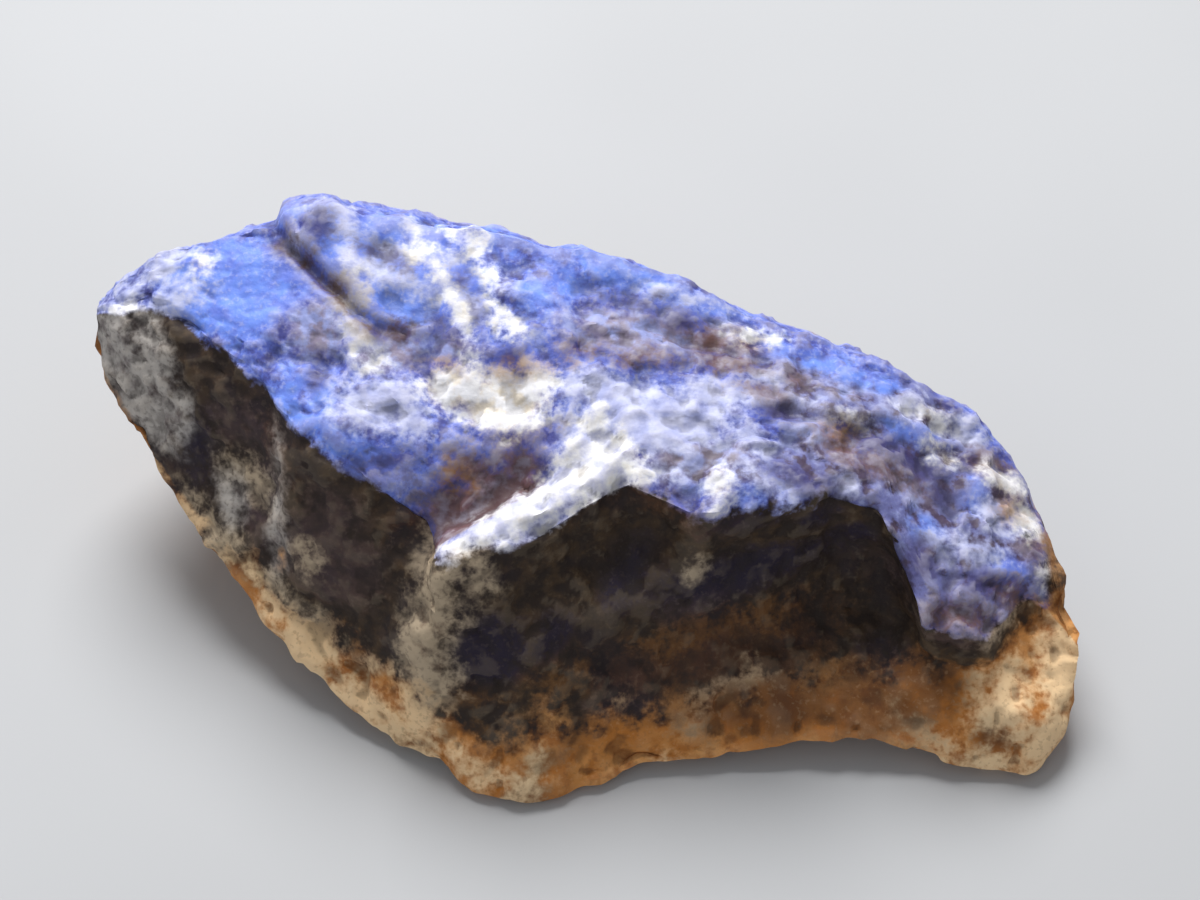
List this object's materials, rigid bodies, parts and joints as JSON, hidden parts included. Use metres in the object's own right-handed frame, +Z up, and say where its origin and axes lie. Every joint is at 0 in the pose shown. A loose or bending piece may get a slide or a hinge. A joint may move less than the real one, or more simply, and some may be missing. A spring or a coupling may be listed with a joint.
{
  "type": "rough mineral specimen",
  "caption": "Rough broken lump of lapis lazuli: blue top with white veins, dark broken front and a tan weathered rind underneath.",
  "frame": {"origin": "middle of the bounding box's base, on the surface the stone stands on", "axes": "+X along the length, from the lifted nose to the rounded foot; -Y is the dark broken front; +Z is up, with the blue top facing up"},
  "size_m": [0.0662, 0.0372, 0.0227],
  "materials": {
    "blue_stone": "satin"
  },
  "bodies": {
    "root": {"lapis_stone": "blue_stone"}
  },
  "joints": []
}
